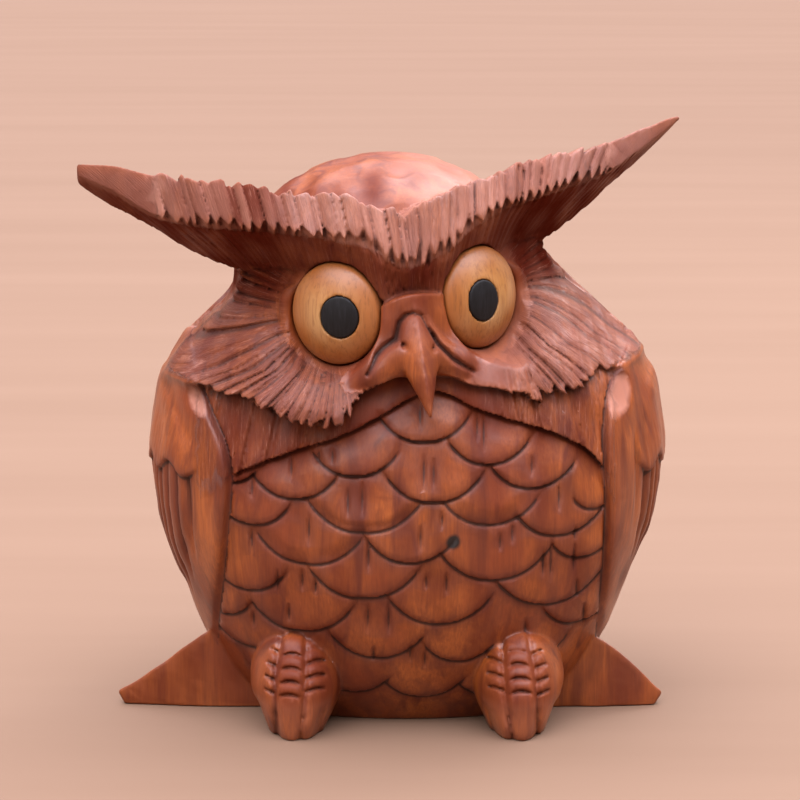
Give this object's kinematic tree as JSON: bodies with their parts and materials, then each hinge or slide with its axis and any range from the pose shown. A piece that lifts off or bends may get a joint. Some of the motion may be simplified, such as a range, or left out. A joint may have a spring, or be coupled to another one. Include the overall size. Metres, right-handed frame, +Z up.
{
  "type": "carved wooden owl figurine",
  "caption": "Hand-carved reddish-brown wooden owl with ear tufts, inlaid pale wood eyes, scaled chest feathers and a flat base.",
  "frame": {"origin": "middle of the flat underside, on the body's upright axis", "axes": "+Z up, -Y the way the owl sits facing, +X the viewer's right"},
  "size_m": [0.1536, 0.1073, 0.1507],
  "materials": {
    "carved_wood": "satin",
    "eye_wood": "satin",
    "pupil_wood": "satin"
  },
  "bodies": {
    "root": {"carved_body": "carved_wood", "left_eye": "eye_wood", "right_eye": "eye_wood", "left_pupil": "pupil_wood", "right_pupil": "pupil_wood"}
  },
  "joints": []
}
